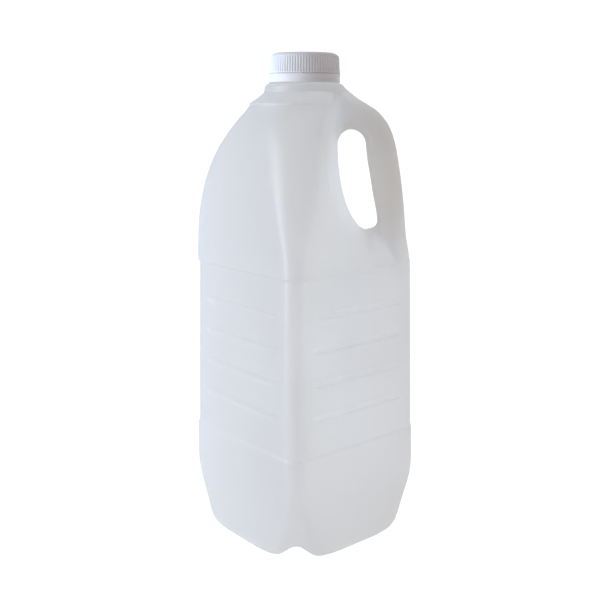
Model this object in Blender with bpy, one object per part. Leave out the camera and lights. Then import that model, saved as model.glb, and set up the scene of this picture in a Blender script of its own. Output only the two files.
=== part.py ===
"""A square two-litre dairy bottle of thin blown plastic, with a hollow handle on one corner,
a ribbed screw cap and the tamper band under it.

The bottle stands on Z = 0 with its axis on Z. The handle is on the +X corner, so the side faces
are turned 45 degrees to X and Y, and the two halves mirror each other across the XZ plane.
"""

import math

import bmesh
import bpy

MM = 0.001  # all the sizes below are in millimetres

# Body: a square with rounded corners, seen from above.
BODY_HALF_WIDTH = 48.2  # axis to the middle of a side, below the label panel
PANEL_HALF_WIDTH = 47.7
BELT_HALF_WIDTH = 48.6  # just above the label panel
CORNER_RADIUS = 8.2
BASE_EDGE_RADIUS = 4.5
LOWER_RING_HEIGHTS = (10.0, 17.0, 26.0)  # where the flutes need a ring of points

# Label panel: sunk a little between two steps, with four short grooves on each side.
PANEL_BOTTOM = 58.6
PANEL_TOP = 154.0
PANEL_STEP_HEIGHT = 1.2
GROOVE_COUNT = 4
GROOVE_TOP = 133.4  # height of the highest groove
GROOVE_PITCH = 18.4
GROOVE_HALF_HEIGHT = 1.7
GROOVE_HALF_LENGTH = 33.6
GROOVE_DEPTH = 0.8
GROOVE_WALL_RUN = 0.7
GROOVE_WALL = 0.7  # plastic left behind a groove

# Flutes: each bottom corner is hollowed out, wider and deeper towards the base.
FLUTE_TOP = 35.0
FLUTE_CENTRE_AT_BASE = 53.5  # axis to the middle of the hollow, along the diagonal
FLUTE_RADIUS = 11.5
FLUTE_LIFT = 6.5  # how far the base edge rises in the middle of a flute
FLUTE_LIFT_HALF_ANGLE = math.radians(15.0)
BASE_FLAT_INSET = 14.0

# Shoulder: the corners sweep in to a round neck.
SHOULDER_BOTTOM = 164.0
SHOULDER_TOP = 245.4
SHOULDER_SWEEP_START = 148.0
SHOULDER_SWEEP_HEIGHT = 125.0
SHOULDER_SWEEP_POWER = 3.2
CORNER_GROWTH = 0.25  # how fast the corner radius grows with height
NECK_RING_HEIGHT = 249.9
NECK_RING_RADIUS = 32.3

# Neck.
CONE_TOP = 257.1
CONE_TOP_RADIUS = 24.2
COLLAR_TOP = 261.0
COLLAR_EDGE = 0.9
COLLAR_LEDGE = 0.3
BEAD_RADIUS = 20.9
BEAD_TOP = 262.6
NECK_RADIUS = 18.2
NECK_TOP = 278.8
WALL = 1.0
NECK_WALL = 1.8
THROAT_HEIGHT = 3.0  # the bore flares out over this height at its foot
THROAT_FLARE = 4.0

# Recess: the body is cut away behind the handle. Its wall and floor lean back from the XZ plane.
RECESS_TOP = 256.0
RECESS_HALF_SPAN = 70.0
RECESS_WALL_LEAN = 0.115  # sideways run for each millimetre away from the XZ plane
RECESS_FLOOR_LEAN = 0.245
RECESS_BEND_BOTTOM = (38.4, 174.0)  # lowest point of the gap behind the grip, as (x, z)
RECESS_BEND_RADIUS_X = 18.2
RECESS_BEND_GROWTH = 0.27  # how much wider the bend gets for each millimetre sideways
RECESS_BEND_RADIUS_Z = 52.0
RECESS_FLOOR_KNEE = (55.0, 160.0)
RECESS_FLOOR_OUTER = (72.0, 153.0)

# Handle: pairs of (x, z) points on its gap side and on its outer side, from neck to foot.
HANDLE_STATIONS = (
    ((12.0, 226.0), (12.0, 259.0)),
    ((20.4, 228.5), (20.4, 258.6)),
    ((23.0, 232.8), (26.5, 256.4)),
    ((28.4, 234.9), (34.8, 251.8)),
    ((33.4, 233.3), (43.8, 246.0)),
    ((36.4, 229.0), (51.4, 236.6)),
    ((37.6, 220.0), (55.6, 223.0)),
    ((40.3, 204.0), (58.3, 204.7)),
    ((43.0, 188.0), (60.2, 187.0)),
    ((43.9, 181.0), (60.8, 177.0)),
    ((42.6, 176.6), (61.2, 170.0)),
    ((39.0, 173.6), (62.6, 164.0)),
    ((34.0, 160.0), (64.2, 157.0)),
    ((34.0, 150.0), (62.2, 150.0)),
)
HANDLE_HALF_WIDTH = 12.5
HANDLE_NOSE_RADIUS = 8.0  # the outer edge carries on the body's rounded corner
HANDLE_INNER_RADIUS = 5.5

# Screw cap and tamper band.
CAP_BOTTOM = 268.6
CAP_TOP = 280.8
CAP_FOOT_RADIUS = 21.8
CAP_RADIUS = 21.5
CAP_TOP_RADIUS = 21.1
CAP_CROWN_RADIUS = 17.0
CAP_CROWN_HEIGHT = 2.2
CAP_WALL = 1.7
RIB_COUNT = 80
RIB_DEPTH = 0.35
RIB_BOTTOM = 271.6
RIB_TOP = 278.6
BAND_BOTTOM = 262.9
BAND_TOP = 268.2
BAND_RADIUS = 21.8
BAND_WAIST_RADIUS = 21.5
BAND_INNER_RADIUS = 19.2
BAND_EDGE = 0.4

CUTTER_OVERRUN = 5.0  # how far a cutter reaches past the face that it opens

PLASTIC_COLOUR = (0.80, 0.82, 0.84, 1.0)
CAP_COLOUR = (0.86, 0.86, 0.88, 1.0)


def clear_scene():
    for scene_object in list(bpy.data.objects):
        bpy.data.objects.remove(scene_object, do_unlink=True)


def make_material(name, colour, roughness):
    material = bpy.data.materials.new(name)
    material.use_nodes = True
    shader = material.node_tree.nodes["Principled BSDF"]
    shader.inputs["Base Color"].default_value = colour
    shader.inputs["Roughness"].default_value = roughness
    shader.inputs["Metallic"].default_value = 0.0
    return material


def loft(name, rings, closes_on_itself=False):
    """A closed object skinned over rings of (x, y, z) points, all with the same number of points.

    The ends are capped, unless the last ring joins back to the first one.
    """
    mesh_builder = bmesh.new()
    loops = [[mesh_builder.verts.new([c * MM for c in point]) for point in ring] for ring in rings]
    pairs = list(zip(loops, loops[1:]))
    if closes_on_itself:
        pairs.append((loops[-1], loops[0]))
    else:
        mesh_builder.faces.new(reversed(loops[0]))
        mesh_builder.faces.new(loops[-1])
    for lower, upper in pairs:
        for i, corner in enumerate(lower):
            after = (i + 1) % len(lower)
            mesh_builder.faces.new((corner, lower[after], upper[after], upper[i]))
    bmesh.ops.recalc_face_normals(mesh_builder, faces=mesh_builder.faces)
    mesh = bpy.data.meshes.new(name)
    mesh_builder.to_mesh(mesh)
    mesh_builder.free()
    mesh.shade_smooth()
    mesh.set_sharp_from_angle(angle=math.radians(30))
    lofted = bpy.data.objects.new(name, mesh)
    bpy.context.scene.collection.objects.link(lofted)
    return lofted


def as_helper(helper):
    helper.hide_render = True
    helper.display_type = "WIRE"
    return helper


def add_boolean(target, operation, other):
    modifier = target.modifiers.new(f"{operation.title()} {other.name}", "BOOLEAN")
    modifier.operation = operation
    modifier.solver = "EXACT"
    modifier.object = other


def rounded_square_reach(angle, half_width, corner_radius):
    """Distance from the axis to a rounded square, at an angle from the middle of a side."""
    folded = abs((angle + math.pi / 4) % (math.pi / 2) - math.pi / 4)
    straight = half_width - corner_radius
    if half_width * math.tan(folded) <= straight:
        return half_width / math.cos(folded)
    middle = straight * (math.cos(folded) + math.sin(folded))
    return middle + math.sqrt(max(middle**2 - 2 * straight**2 + corner_radius**2, 0.0))


def flute_reach(angle, height, inset):
    """Distance from the axis to a flute's hollow surface, at an angle from the middle of a side."""
    from_diagonal = abs(angle) % (math.pi / 2) - math.pi / 4
    corner = math.sqrt(2) * BODY_HALF_WIDTH - (math.sqrt(2) - 1) * CORNER_RADIUS
    centre = FLUTE_CENTRE_AT_BASE + (corner - FLUTE_CENTRE_AT_BASE) * height / FLUTE_TOP - inset
    sideways = centre * math.tan(from_diagonal)
    return (centre + sideways**2 / (2 * FLUTE_RADIUS)) / math.cos(from_diagonal)


def groove_end_angle():
    return math.atan2(GROOVE_HALF_LENGTH, PANEL_HALF_WIDTH)


def body_angles(groove_columns):
    """Angles from the middle of a side where a body ring has its points, over one whole turn."""
    corner_start = math.atan2(BODY_HALF_WIDTH - CORNER_RADIUS, BODY_HALF_WIDTH)
    groove_end = groove_end_angle()
    half = [0.0, groove_end / 3, groove_end * 2 / 3, groove_end]
    if groove_columns:
        half.append(groove_end + math.radians(0.9))
    corner_steps = 4 if groove_columns else 3
    half += [
        corner_start + (math.pi / 4 - corner_start) * step / corner_steps
        for step in range(corner_steps + 1)
    ]
    quarter = half + [math.pi / 2 - angle for angle in reversed(half[1:-1])]
    return [side * math.pi / 2 + angle for side in range(4) for angle in quarter]


def flute_lift(angle, height):
    """How far a flute raises the base edge, at an angle from the middle of a side."""
    off_middle = (abs(angle) % (math.pi / 2) - math.pi / 4) / FLUTE_LIFT_HALF_ANGLE
    fade = max(1 - height / FLUTE_TOP, 0.0)
    return FLUTE_LIFT * fade * max(1 - off_middle**2, 0.0)


def ring_points(angles, reaches, height, lift=None):
    """Points of a ring, turned so that the sides face between X and Y."""
    turn = math.pi / 4
    return [
        (
            reach * math.cos(angle + turn),
            reach * math.sin(angle + turn),
            height + (lift(angle, height) if lift else 0.0),
        )
        for angle, reach in zip(angles, reaches)
    ]


def square_ring(angles, height, half_width, corner_radius, inset=0.0, groove=0.0):
    """A ring of the body. The groove is how far its middle stretch is sunk on each side."""
    reaches = []
    for angle in angles:
        reach = rounded_square_reach(angle, half_width - inset, corner_radius - inset)
        if height < FLUTE_TOP:
            reach = min(reach, flute_reach(angle, height, inset))
        folded = abs((angle + math.pi / 4) % (math.pi / 2) - math.pi / 4)
        if folded <= groove_end_angle() + 1e-6:
            reach -= groove / math.cos(folded)
        reaches.append(reach)
    return ring_points(angles, reaches, height, flute_lift)


def round_ring(angles, height, radius):
    return ring_points(angles, [radius] * len(angles), height)


def shoulder_corner_reach(height):
    """Distance from the axis to the corner's edge, along the diagonal."""
    belt = math.sqrt(2) * BELT_HALF_WIDTH - (math.sqrt(2) - 1) * CORNER_RADIUS
    rise = max(height - SHOULDER_SWEEP_START, 0.0) / SHOULDER_SWEEP_HEIGHT
    return belt * (1 - rise**SHOULDER_SWEEP_POWER)


def shoulder_ring(angles, height, inset=0.0):
    reach = shoulder_corner_reach(height)
    radius = CORNER_RADIUS + CORNER_GROWTH * (height - SHOULDER_BOTTOM)
    half_width = (reach + (math.sqrt(2) - 1) * radius) / math.sqrt(2)
    radius = min(radius, half_width)
    return square_ring(angles, height, half_width, radius, inset)


def spread(first, last, count):
    return [first + (last - first) * step / (count - 1) for step in range(count)]


def base_edge_rings(angles, radius, bottom, steps, inset=0.0):
    """Rings of the flat base and its rounded edge, from the inside out."""
    flat_half_width = BODY_HALF_WIDTH - BASE_FLAT_INSET
    flat = [rounded_square_reach(angle, flat_half_width, CORNER_RADIUS) for angle in angles]
    rings = [ring_points(angles, flat, bottom)]
    for step in range(steps + 1):
        turn = math.pi / 2 * step / steps
        height = bottom + radius * (1 - math.cos(turn))
        pulled_in = inset + radius * (1 - math.sin(turn))
        rings.append(square_ring(angles, height, BODY_HALF_WIDTH, CORNER_RADIUS, pulled_in))
    return rings


def outer_body():
    angles = body_angles(groove_columns=True)
    rings = base_edge_rings(angles, BASE_EDGE_RADIUS, 0.0, 4)
    for height in (*LOWER_RING_HEIGHTS, FLUTE_TOP, PANEL_BOTTOM - PANEL_STEP_HEIGHT):
        rings.append(square_ring(angles, height, BODY_HALF_WIDTH, CORNER_RADIUS))
    rings.append(square_ring(angles, PANEL_BOTTOM, PANEL_HALF_WIDTH, CORNER_RADIUS))
    for groove in reversed(range(GROOVE_COUNT)):
        middle = GROOVE_TOP - groove * GROOVE_PITCH
        lip = GROOVE_HALF_HEIGHT
        floor = GROOVE_HALF_HEIGHT - GROOVE_WALL_RUN
        for offset, depth in ((-lip, 0), (-floor, GROOVE_DEPTH), (floor, GROOVE_DEPTH), (lip, 0)):
            height = middle + offset
            rings.append(
                square_ring(angles, height, PANEL_HALF_WIDTH, CORNER_RADIUS, groove=depth)
            )
    rings.append(square_ring(angles, PANEL_TOP, PANEL_HALF_WIDTH, CORNER_RADIUS))
    belt_bottom = PANEL_TOP + PANEL_STEP_HEIGHT
    rings.append(square_ring(angles, belt_bottom, BELT_HALF_WIDTH, CORNER_RADIUS))
    for height in spread(SHOULDER_BOTTOM, SHOULDER_TOP, 13):
        rings.append(shoulder_ring(angles, height))
    rings.append(round_ring(angles, NECK_RING_HEIGHT, NECK_RING_RADIUS))
    for height, radius in (
        (CONE_TOP, CONE_TOP_RADIUS),
        (COLLAR_TOP - COLLAR_EDGE, CONE_TOP_RADIUS),
        (COLLAR_TOP, CONE_TOP_RADIUS - COLLAR_EDGE),
        (COLLAR_TOP + COLLAR_LEDGE, BEAD_RADIUS),
        (BEAD_TOP - COLLAR_LEDGE, BEAD_RADIUS),
        (BEAD_TOP, NECK_RADIUS),
        (NECK_TOP, NECK_RADIUS),
    ):
        rings.append(round_ring(angles, height, radius))
    return loft("bottle", rings)


def inner_body():
    angles = body_angles(groove_columns=False)
    panel_inset = GROOVE_DEPTH + GROOVE_WALL
    rings = base_edge_rings(angles, BASE_EDGE_RADIUS - WALL, WALL, 3, inset=WALL)
    for height in (*LOWER_RING_HEIGHTS, FLUTE_TOP, PANEL_BOTTOM - PANEL_STEP_HEIGHT - WALL):
        rings.append(square_ring(angles, height, BODY_HALF_WIDTH, CORNER_RADIUS, WALL))
    for height in (PANEL_BOTTOM, PANEL_TOP):
        rings.append(square_ring(angles, height, PANEL_HALF_WIDTH, CORNER_RADIUS, panel_inset))
    belt_bottom = PANEL_TOP + PANEL_STEP_HEIGHT + WALL
    rings.append(square_ring(angles, belt_bottom, BELT_HALF_WIDTH, CORNER_RADIUS, WALL))
    for height in spread(SHOULDER_BOTTOM, SHOULDER_TOP - WALL, 10):
        rings.append(shoulder_ring(angles, height, WALL))
    bore = NECK_RADIUS - NECK_WALL
    slope_wall = math.sqrt(2) * WALL
    rings.append(round_ring(angles, NECK_RING_HEIGHT, NECK_RING_RADIUS - slope_wall))
    rings.append(round_ring(angles, COLLAR_TOP - THROAT_HEIGHT, bore + THROAT_FLARE))
    rings.append(round_ring(angles, COLLAR_TOP, bore))
    rings.append(round_ring(angles, NECK_TOP + CUTTER_OVERRUN, bore))
    return as_helper(loft("hollow", rings))


def recess_profile(away, grown):
    """Outline of the cut in the XZ plane, at a distance from that plane and grown all round."""
    floor_shift = RECESS_FLOOR_LEAN * away + grown
    bend_x, bend_z = RECESS_BEND_BOTTOM
    bend_x += (RECESS_BEND_GROWTH - RECESS_WALL_LEAN) * away
    radius_x = RECESS_BEND_RADIUS_X + RECESS_BEND_GROWTH * away + grown
    radius_z = RECESS_BEND_RADIUS_Z + floor_shift
    top = RECESS_TOP + grown
    points = [(bend_x - radius_x, top)]
    for angle in spread(0.0, math.pi / 2, 9):
        x = bend_x - radius_x * math.cos(angle)
        z = bend_z + RECESS_BEND_RADIUS_Z - radius_z * math.sin(angle)
        points.append((x, z))
    for x, z in (RECESS_FLOOR_KNEE, RECESS_FLOOR_OUTER):
        points.append((x, z - floor_shift))
    points.append((RECESS_FLOOR_OUTER[0], top))
    return points


def recess(name, grown=0.0):
    """The solid that is cut away behind the handle."""
    rings = []
    for y in (-RECESS_HALF_SPAN, 0.0, RECESS_HALF_SPAN):
        rings.append([(x, y, z) for x, z in recess_profile(abs(y), grown)])
    return as_helper(loft(name, rings))


def handle_section(thickness, inset):
    """Points of the grip's section as (inward, sideways), from its outer edge round to it again.

    The outer edge is a rounded right angle, the sides are flat, and the inner corners are round.
    """
    half = HANDLE_HALF_WIDTH - inset
    nose = HANDLE_NOSE_RADIUS - inset
    inner = HANDLE_INNER_RADIUS - inset
    side = [
        (inset + nose * (1 - math.cos(turn)), nose * math.sin(turn))
        for turn in spread(0.0, math.pi / 4, 3)
    ]
    last_inward, last_sideways = side[-1]
    side.append((last_inward + half - last_sideways, half))
    for turn in spread(0.0, math.pi / 2, 4):
        inward = thickness - inset - inner * (1 - math.sin(turn))
        side.append((inward, half - inner * (1 - math.cos(turn))))
    return side + [(inward, -sideways) for inward, sideways in reversed(side[1:])]


def handle(name, inset=0.0):
    rings = []
    for (gap_x, gap_z), (outer_x, outer_z) in HANDLE_STATIONS:
        thickness = math.hypot(gap_x - outer_x, gap_z - outer_z)
        along = ((gap_x - outer_x) / thickness, (gap_z - outer_z) / thickness)
        rings.append(
            [
                (outer_x + along[0] * inward, sideways, outer_z + along[1] * inward)
                for inward, sideways in handle_section(thickness, inset)
            ]
        )
    return as_helper(loft(name, rings))


def make_bottle(material):
    hollow = inner_body()
    add_boolean(hollow, "DIFFERENCE", recess("recess_of_hollow", grown=WALL))
    add_boolean(hollow, "UNION", handle("hollow_of_handle", inset=WALL))
    bottle = outer_body()
    add_boolean(bottle, "DIFFERENCE", recess("recess"))
    add_boolean(bottle, "UNION", handle("handle"))
    add_boolean(bottle, "DIFFERENCE", hollow)
    bottle.data.materials.append(material)
    return bottle


def cap_outer_rings():
    """Rings of the cap's outside, from its foot up, with every second point of the ribs sunk."""
    count = 2 * RIB_COUNT
    angles = [2 * math.pi * i / count for i in range(count)]

    def ribbed_ring(height, radius, depth):
        reaches = [radius - depth * (i % 2) for i in range(count)]
        return ring_points(angles, reaches, height)

    rings = [
        ribbed_ring(CAP_BOTTOM, CAP_FOOT_RADIUS, 0.0),
        ribbed_ring(RIB_BOTTOM - RIB_DEPTH, CAP_RADIUS, 0.0),
        ribbed_ring(RIB_BOTTOM, CAP_RADIUS, RIB_DEPTH),
        ribbed_ring(RIB_TOP, CAP_TOP_RADIUS, RIB_DEPTH),
    ]
    for turn in spread(0.0, math.pi / 2, 4):
        height = CAP_TOP - CAP_CROWN_HEIGHT * (1 - math.sin(turn))
        radius = CAP_CROWN_RADIUS + (CAP_TOP_RADIUS - CAP_CROWN_RADIUS) * math.cos(turn)
        rings.append(ribbed_ring(height, radius, 0.0))
    return rings


def cylinder(name, radius, bottom, top):
    angles = spread(0.0, 2 * math.pi, 49)[:-1]
    return as_helper(
        loft(name, [round_ring(angles, height, radius) for height in (bottom, top)])
    )


def make_cap(material):
    cap = loft("screw_cap", cap_outer_rings())
    bore_radius = CAP_TOP_RADIUS - CAP_WALL
    add_boolean(
        cap,
        "DIFFERENCE",
        cylinder("cap_bore", bore_radius, CAP_BOTTOM - CUTTER_OVERRUN, CAP_TOP - CAP_WALL),
    )
    cap.data.materials.append(material)
    return cap


def make_band(material):
    angles = spread(0.0, 2 * math.pi, 73)[:-1]
    middle = (BAND_BOTTOM + BAND_TOP) / 2
    profile = (
        (BAND_BOTTOM, BAND_INNER_RADIUS),
        (BAND_BOTTOM, BAND_RADIUS - BAND_EDGE),
        (BAND_BOTTOM + BAND_EDGE, BAND_RADIUS),
        (middle, BAND_WAIST_RADIUS),
        (BAND_TOP, BAND_RADIUS),
        (BAND_TOP, BAND_INNER_RADIUS),
    )
    rings = [round_ring(angles, height, radius) for height, radius in profile]
    band = loft("tamper_band", rings, closes_on_itself=True)
    band.data.materials.append(material)
    return band


def main():
    clear_scene()
    plastic = make_material("natural_bottle_plastic", PLASTIC_COLOUR, 0.35)
    cap_plastic = make_material("white_cap_plastic", CAP_COLOUR, 0.45)
    root = bpy.data.objects.new("dairy_bottle", None)
    bpy.context.scene.collection.objects.link(root)
    for piece in (make_bottle(plastic), make_cap(cap_plastic), make_band(cap_plastic)):
        piece.parent = root


main()
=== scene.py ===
"""Looks of a square dairy bottle of natural blown plastic, with its screw cap and tamper band.

The bottle stands on Z = 0 with its axis on Z and its grip on the +X corner. The forms and the
pieces have their sizes in millimetres, and meshes are turned into metres when they are made. The
finishes and the studio have theirs in metres.
"""

import logging
import math
from dataclasses import dataclass, field
from enum import Enum
from typing import Callable, Iterable, Sequence

import bmesh
import bpy
import numpy as np
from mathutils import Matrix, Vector


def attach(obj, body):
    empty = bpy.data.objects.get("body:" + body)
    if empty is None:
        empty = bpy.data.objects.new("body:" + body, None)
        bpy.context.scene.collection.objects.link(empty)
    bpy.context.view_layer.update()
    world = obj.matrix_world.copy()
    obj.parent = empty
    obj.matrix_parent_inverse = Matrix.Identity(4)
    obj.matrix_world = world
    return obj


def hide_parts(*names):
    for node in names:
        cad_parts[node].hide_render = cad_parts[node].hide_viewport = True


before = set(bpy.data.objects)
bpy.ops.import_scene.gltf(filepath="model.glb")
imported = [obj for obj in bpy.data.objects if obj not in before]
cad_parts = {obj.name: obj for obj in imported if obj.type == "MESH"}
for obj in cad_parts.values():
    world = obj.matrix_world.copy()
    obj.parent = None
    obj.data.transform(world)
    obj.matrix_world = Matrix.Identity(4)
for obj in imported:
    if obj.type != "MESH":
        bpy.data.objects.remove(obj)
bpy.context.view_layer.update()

MM = 0.001
SAME_POINT = 1e-7
SAME_HEIGHT = 1e-6
LEAST_GAP = 0.2
TINY = 1e-9
BODY = "root"

log = logging.getLogger("dairy_bottle")

Array = np.ndarray
Colour = tuple[float, float, float]
Stretch = tuple[float, float, float]


# ---------------------------------------------------------------- shape maths


def rounded_max(first: Array, second: Array, radius: float | Array) -> Array:
    """Intersection of two solids given as distances, with the edge between them rounded.

    Args:
        first: distances to one solid, negative inside.
        second: distances to the other solid.
        radius: radius of the rounded edge.

    Returns:
        Distances to what both solids share.
    """
    a = first + radius
    b = second + radius
    corner = np.hypot(np.maximum(a, 0.0), np.maximum(b, 0.0))
    return corner + np.minimum(np.maximum(a, b), 0.0) - radius


def rounded_min(first: Array, second: Array, radius: float | Array) -> Array:
    """Union of two solids given as distances, with the crease between them filled.

    Args:
        first: distances to one solid, negative inside.
        second: distances to the other solid.
        radius: radius of the fillet in the crease.

    Returns:
        Distances to the two solids together.
    """
    return -rounded_max(-first, -second, radius)


def eased(value: Array, start: float, end: float) -> Array:
    """A smooth step from 0 at start to 1 at end."""
    t = np.clip((value - start) / (end - start), 0.0, 1.0)
    return t * t * (3.0 - 2.0 * t)


def softened(value: Array, width: float) -> Array:
    """The positive part of a value, with its corner at 0 rounded over a width."""
    return (np.sqrt(value * value + width * width) + value) / 2


class Curve:
    """A smooth value along height, through given points, without overshoot between them."""

    STEP = 0.25

    def __init__(self, points: Sequence[tuple[float, float]]) -> None:
        """Tabulates a monotone cubic through the points.

        Args:
            points: pairs of a height and the value there, in rising order.
        """
        at, value = (np.array(column, float) for column in zip(*points))
        run = np.diff(at)
        rise = np.diff(value) / run
        slope = np.zeros_like(at)
        slope[0], slope[-1] = rise[0], rise[-1]
        same = rise[:-1] * rise[1:] > 0
        before, after = rise[:-1][same], rise[1:][same]
        slope[1:-1][same] = 2 * before * after / (before + after)
        self.at = np.arange(at[0], at[-1] + self.STEP / 2, self.STEP)
        i = np.clip(np.searchsorted(at, self.at, side="right") - 1, 0, len(run) - 1)
        t = (self.at - at[i]) / run[i]
        self.value = (
            value[i] * (1 + 2 * t) * (1 - t) ** 2
            + slope[i] * run[i] * t * (1 - t) ** 2
            + value[i + 1] * t * t * (3 - 2 * t)
            + slope[i + 1] * run[i] * t * t * (t - 1)
        )
        self.slope = np.gradient(self.value, self.STEP)

    def __call__(self, height: Array) -> Array:
        """The value at each height."""
        return np.interp(height, self.at, self.value)

    def steepness(self, height: Array) -> Array:
        """How fast the value changes at each height."""
        return np.interp(height, self.at, self.slope)


# ------------------------------------------------------------ form of the bottle


@dataclass
class BodyForm:
    """The square body with its label panel, its fluted bottom corners and its shoulder.

    Places up the bottle are measured from the ground, and half widths from the axis.
    """

    half_width: float = 48.2
    belt_half_width: float = 48.6
    belt_bottom: float = 100.0
    belt_rise: float = 1.0
    panel_half_width: float = 47.7
    corner_radius: float = 8.2
    panel_bottom: float = 58.6
    panel_top: float = 154.0
    low_step: float = 2.0
    high_step: float = 1.6
    base_edge_radius: float = 4.5
    base_corner_growth: float = 3.5
    base_corner_start: float = 24.0
    base_corner_full: float = 8.0
    groove_top: float = 133.4
    groove_pitch: float = 18.4
    groove_count: int = 4
    groove_half_height: float = 2.0
    groove_half_length: float = 33.6
    groove_depth: float = 0.5
    groove_wall: float = 1.1
    flute_top: float = 35.0
    flute_centre_at_base: float = 53.5
    flute_radius: float = 11.5
    flute_rim_radius: float = 2.0
    flute_rim_growth: float = 8.0
    flute_lift: float = 5.6
    flute_lift_half_width: float = 12.0
    flute_lift_start: float = 30.0
    sweep_start: float = 148.0
    sweep_height: float = 125.0
    sweep_power: float = 3.2
    shoulder_bottom: float = 164.0
    shoulder_top: float = 245.4
    shoulder_steps: int = 40
    lean_start: float = 160.0
    lean_full: float = 245.0
    corner_growth: float = 0.27
    neck_ring_height: float = 250.3
    neck_ring_radius: float = 32.3
    neck_ring_ridge: float = 0.65
    neck_ring_rise: float = 0.9
    neck_ring_fade: float = 4.0
    neck_ring_loss: float = 0.85
    neck_ring_loss_reach: float = 14.0
    cone_top: float = 257.1
    cone_top_radius: float = 24.2
    top: float = 259.0
    top_edge_radius: float = 0.5
    table_start: float = -20.0
    table_end: float = 300.0

    def __post_init__(self) -> None:
        """Tabulates how the half width and the corner radius change with height."""
        gain = math.sqrt(2) - 1
        belt = math.sqrt(2) * self.belt_half_width - gain * self.corner_radius
        heights = np.linspace(self.shoulder_bottom, self.shoulder_top, self.shoulder_steps)
        rise = (heights - self.sweep_start) / self.sweep_height
        reach = belt * (1 - rise**self.sweep_power)
        radius = self.corner_radius + self.corner_growth * (heights - self.shoulder_bottom)
        width = (reach + gain * radius) / math.sqrt(2)
        radius = np.minimum(radius, width)
        low_heights = [self.table_start, self.belt_bottom, self.belt_bottom + self.belt_rise]
        low_widths = [self.half_width, self.half_width, self.belt_half_width]
        low_radii = [self.corner_radius] * len(low_heights)
        neck_heights = [self.neck_ring_height, self.cone_top, self.table_end]
        neck_radii = [self.neck_ring_radius, self.cone_top_radius, self.cone_top_radius]
        self.heights = np.array([*low_heights, *heights, *neck_heights])
        self.widths = np.array([*low_widths, *width, *neck_radii])
        self.radii = np.array([*low_radii, *radius, *neck_radii])

    def sink(self, z: Array) -> Array:
        """How far the label panel lies below the surface around it.

        Args:
            z: height.

        Returns:
            How far the side is sunk at each height.
        """
        up = eased(z, self.panel_bottom - self.low_step, self.panel_bottom)
        down = 1 - eased(z, self.panel_top, self.panel_top + self.high_step)
        around = np.where(z < self.belt_bottom, self.half_width, self.belt_half_width)
        return (around - self.panel_half_width) * up * down

    def groove(self, along: Array, z: Array) -> Array:
        """Depth of the short grooves across a side.

        Args:
            along: distance from the middle of the side.
            z: height.

        Returns:
            How far the side is sunk at each point.
        """
        sunk = np.zeros(np.broadcast(along, z).shape)
        beyond = np.maximum(along - self.groove_half_length + self.groove_half_height, 0.0)
        for index in range(self.groove_count):
            off = z - (self.groove_top - index * self.groove_pitch)
            from_edge = self.groove_half_height - np.hypot(beyond, off)
            sunk += self.groove_depth * eased(from_edge, 0.0, self.groove_wall)
        return sunk

    def neck_ridge(self, x: Array, z: Array) -> Array:
        """How far the ring at the foot of the neck stands out, less towards the grip.

        Args:
            x: position towards the grip.
            z: height.

        Returns:
            How far the ring stands out at each point.
        """
        above = z - self.neck_ring_height
        rise = eased(above, -self.neck_ring_rise, 0.0)
        fade = 1 - eased(above, 0.0, self.neck_ring_fade)
        kept = 1 - self.neck_ring_loss * eased(x, 0.0, self.neck_ring_loss_reach)
        return self.neck_ring_ridge * rise * fade * kept

    def distance(self, x: Array, y: Array, z: Array) -> Array:
        """Distance to the body.

        Args:
            x: position towards the grip.
            y: position across the grip.
            z: height.

        Returns:
            The distances, negative inside.
        """
        u = np.abs(x + y) / math.sqrt(2)
        v = np.abs(x - y) / math.sqrt(2)
        width = np.interp(z, self.heights, self.widths) - self.sink(z) + self.neck_ridge(x, z)
        radius = np.interp(z, self.heights, self.radii)
        side = rounded_max(u - width + self.groove(v, z), v - width + self.groove(u, z), radius)
        side = side / np.hypot(1.0, eased(z, self.lean_start, self.lean_full))
        rim = self.flute_rim_radius + self.flute_rim_growth * (1 - eased(z, 0.0, self.flute_top))
        body = rounded_max(side, self.flute(x, y, z), rim)
        sideways = np.minimum(np.abs(x), np.abs(y))
        near_corner = 1 - eased(sideways, self.base_corner_full, self.base_corner_start)
        foot = self.base_edge_radius + self.base_corner_growth * near_corner
        body = rounded_max(body, self.under(x, y) - z, foot)
        return rounded_max(body, z - self.top, self.top_edge_radius)

    def flute(self, x: Array, y: Array, z: Array) -> Array:
        """Distance to the surface that hollows each bottom corner.

        Args:
            x: position towards the grip.
            y: position across the grip.
            z: height.

        Returns:
            The distances, negative on the side that is kept.
        """
        out = np.maximum(np.abs(x), np.abs(y))
        sideways = np.minimum(np.abs(x), np.abs(y))
        corner = math.sqrt(2) * self.half_width - (math.sqrt(2) - 1) * self.corner_radius
        slope = (corner - self.flute_centre_at_base) / self.flute_top
        centre = self.flute_centre_at_base + slope * z
        hollow = out - centre - sideways**2 / (2 * self.flute_radius)
        return hollow / np.sqrt(1 + (sideways / self.flute_radius) ** 2 + slope**2)

    def under(self, x: Array, y: Array) -> Array:
        """Height of the underside, which rises at each bottom corner.

        Args:
            x: position towards the grip.
            y: position across the grip.

        Returns:
            The height at each point.
        """
        out = np.maximum(np.abs(x), np.abs(y))
        sideways = np.minimum(np.abs(x), np.abs(y))
        arch = 1 - eased(sideways, 0.0, self.flute_lift_half_width)
        reached = eased(out, self.flute_lift_start, self.flute_centre_at_base)
        return self.flute_lift * arch * reached


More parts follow.
